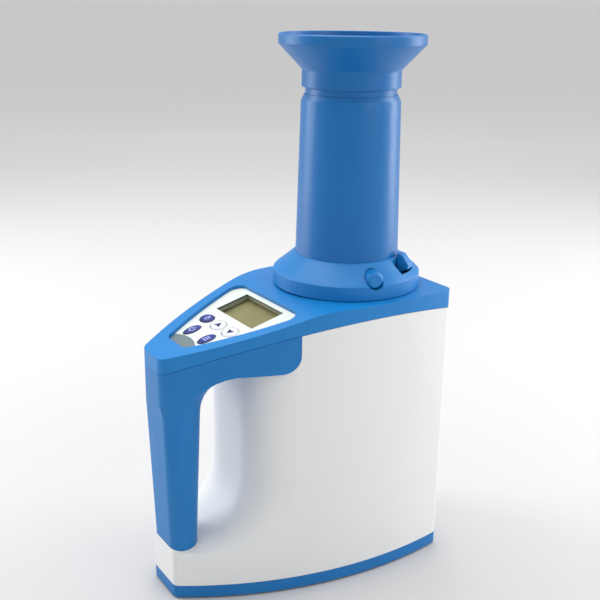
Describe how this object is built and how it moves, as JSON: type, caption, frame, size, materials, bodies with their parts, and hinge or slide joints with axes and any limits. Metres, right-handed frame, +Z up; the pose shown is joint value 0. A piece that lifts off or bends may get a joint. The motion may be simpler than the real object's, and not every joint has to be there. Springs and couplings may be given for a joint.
{
  "type": "grain moisture meter",
  "caption": "Portable cup-type grain moisture meter with a lift-off drop tube and funnel, a sprung trap release, a sloped display and key panel, and a through grip.",
  "frame": {"origin": "middle of the object's box in plan, on the table under the rubber feet", "axes": "+X from the grip's nose towards the back, +Z up, -Y the side with the release button"},
  "size_m": [0.22, 0.127, 0.4],
  "materials": {
    "white_plastic": "satin moulded",
    "blue_plastic": "satin moulded",
    "base_blue": "satin moulded",
    "panel_print": "printed film",
    "dark_trim": "matt",
    "window": "clear",
    "display": "gloss",
    "circuit": "solder mask",
    "key_navy": "satin",
    "key_white": "satin",
    "steel": "bright",
    "alloy": "satin",
    "insulator": "machined",
    "foot_rubber": "matt",
    "cell_jacket": "gloss",
    "cable_grey": "matt"
  },
  "bodies": {
    "meter_body": {"main_housing": "white_plastic", "base_plate": "base_blue", "top_cover": "blue_plastic", "handle_left_shell": "blue_plastic", "handle_right_shell": "blue_plastic", "panel_plate": "panel_print", "lcd_bezel": "dark_trim", "display_window": "window", "lcd_module": "display", "keypad_board": "circuit", "key_domes": "steel", "main_board": "circuit", "board_parts": "dark_trim", "ribbon_cable": "cable_grey", "measuring_cup": "alloy", "centre_electrode": "alloy", "cell_insulator": "insulator", "mouth_ring": "dark_trim", "temperature_probe": "steel", "cup_bracket": "alloy", "load_cell": "alloy", "cell_pedestal": "alloy", "battery_tray": "dark_trim", "battery_contacts": "steel", "batteries": "cell_jacket", "door_pin": "steel", "rubber_feet": "foot_rubber", "base_screws": "steel", "handle_screws": "steel", "board_screws": "steel", "cell_screws": "steel"},
    "drop_tube": {"drop_tube": "blue_plastic", "tube_collar": "blue_plastic", "locating_ring": "dark_trim", "trap_pin": "steel", "button_spring": "steel"},
    "funnel": {"funnel": "blue_plastic"},
    "trap_left": {"trap_flap_left": "alloy"},
    "trap_right": {"trap_flap_right": "alloy"},
    "reset_lever": {"reset_lever": "blue_plastic"},
    "release_button": {"release_button": "blue_plastic"},
    "key_power": {"key_power": "key_navy"},
    "key_menu": {"key_menu": "key_navy"},
    "key_measure": {"key_measure": "key_navy"},
    "key_up": {"key_up": "key_white"},
    "key_down": {"key_down": "key_white"},
    "battery_door": {"battery_door": "base_blue"}
  },
  "joints": [
    {"name": "tube_lift", "type": "slide", "parent": "meter_body", "child": "drop_tube", "axis": [0, 0, 1], "range_m": [0, 0.12]},
    {"name": "funnel_lift", "type": "slide", "parent": "drop_tube", "child": "funnel", "axis": [0, 0, 1], "range_m": [0, 0.08]},
    {"name": "reset_lever_turn", "type": "hinge", "parent": "drop_tube", "child": "reset_lever", "pos_m": [0.0535, 0, 0.222], "axis": [0, 0, -1], "range_deg": [0, 10]},
    {"name": "trap_left_swing", "type": "hinge", "parent": "drop_tube", "child": "trap_left", "pos_m": [0.0535, 0, 0.222], "axis": [0, -1, 0], "range_deg": [0, 82]},
    {"name": "trap_right_swing", "type": "hinge", "parent": "drop_tube", "child": "trap_right", "pos_m": [0.0535, 0, 0.222], "axis": [0, 1, 0], "range_deg": [0, 82]},
    {"name": "release_button_push", "type": "slide", "parent": "drop_tube", "child": "release_button", "axis": [0.2079, 0.9781, 0], "range_m": [0, 0.003], "stiffness_N_per_m": 500, "deforming": ["button_spring"]},
    {"name": "key_power_press", "type": "slide", "parent": "meter_body", "child": "key_power", "axis": [0.2588, 0, -0.9659], "range_m": [0, 0.0004], "stiffness_N_per_m": 600},
    {"name": "key_menu_press", "type": "slide", "parent": "meter_body", "child": "key_menu", "axis": [0.2588, 0, -0.9659], "range_m": [0, 0.0004], "stiffness_N_per_m": 600},
    {"name": "key_measure_press", "type": "slide", "parent": "meter_body", "child": "key_measure", "axis": [0.2588, 0, -0.9659], "range_m": [0, 0.0004], "stiffness_N_per_m": 600},
    {"name": "key_up_press", "type": "slide", "parent": "meter_body", "child": "key_up", "axis": [0.2588, 0, -0.9659], "range_m": [0, 0.0004], "stiffness_N_per_m": 600},
    {"name": "key_down_press", "type": "slide", "parent": "meter_body", "child": "key_down", "axis": [0.2588, 0, -0.9659], "range_m": [0, 0.0004], "stiffness_N_per_m": 600},
    {"name": "battery_door_swing", "type": "hinge", "parent": "meter_body", "child": "battery_door", "pos_m": [0.0176, 0, 0.0041], "axis": [0, -1, 0], "range_deg": [0, 90]}
  ],
  "couplings": [
    {"joint": "trap_left_swing", "follows": "reset_lever_turn", "ratio": 8.2},
    {"joint": "trap_right_swing", "follows": "reset_lever_turn", "ratio": 8.2}
  ]
}
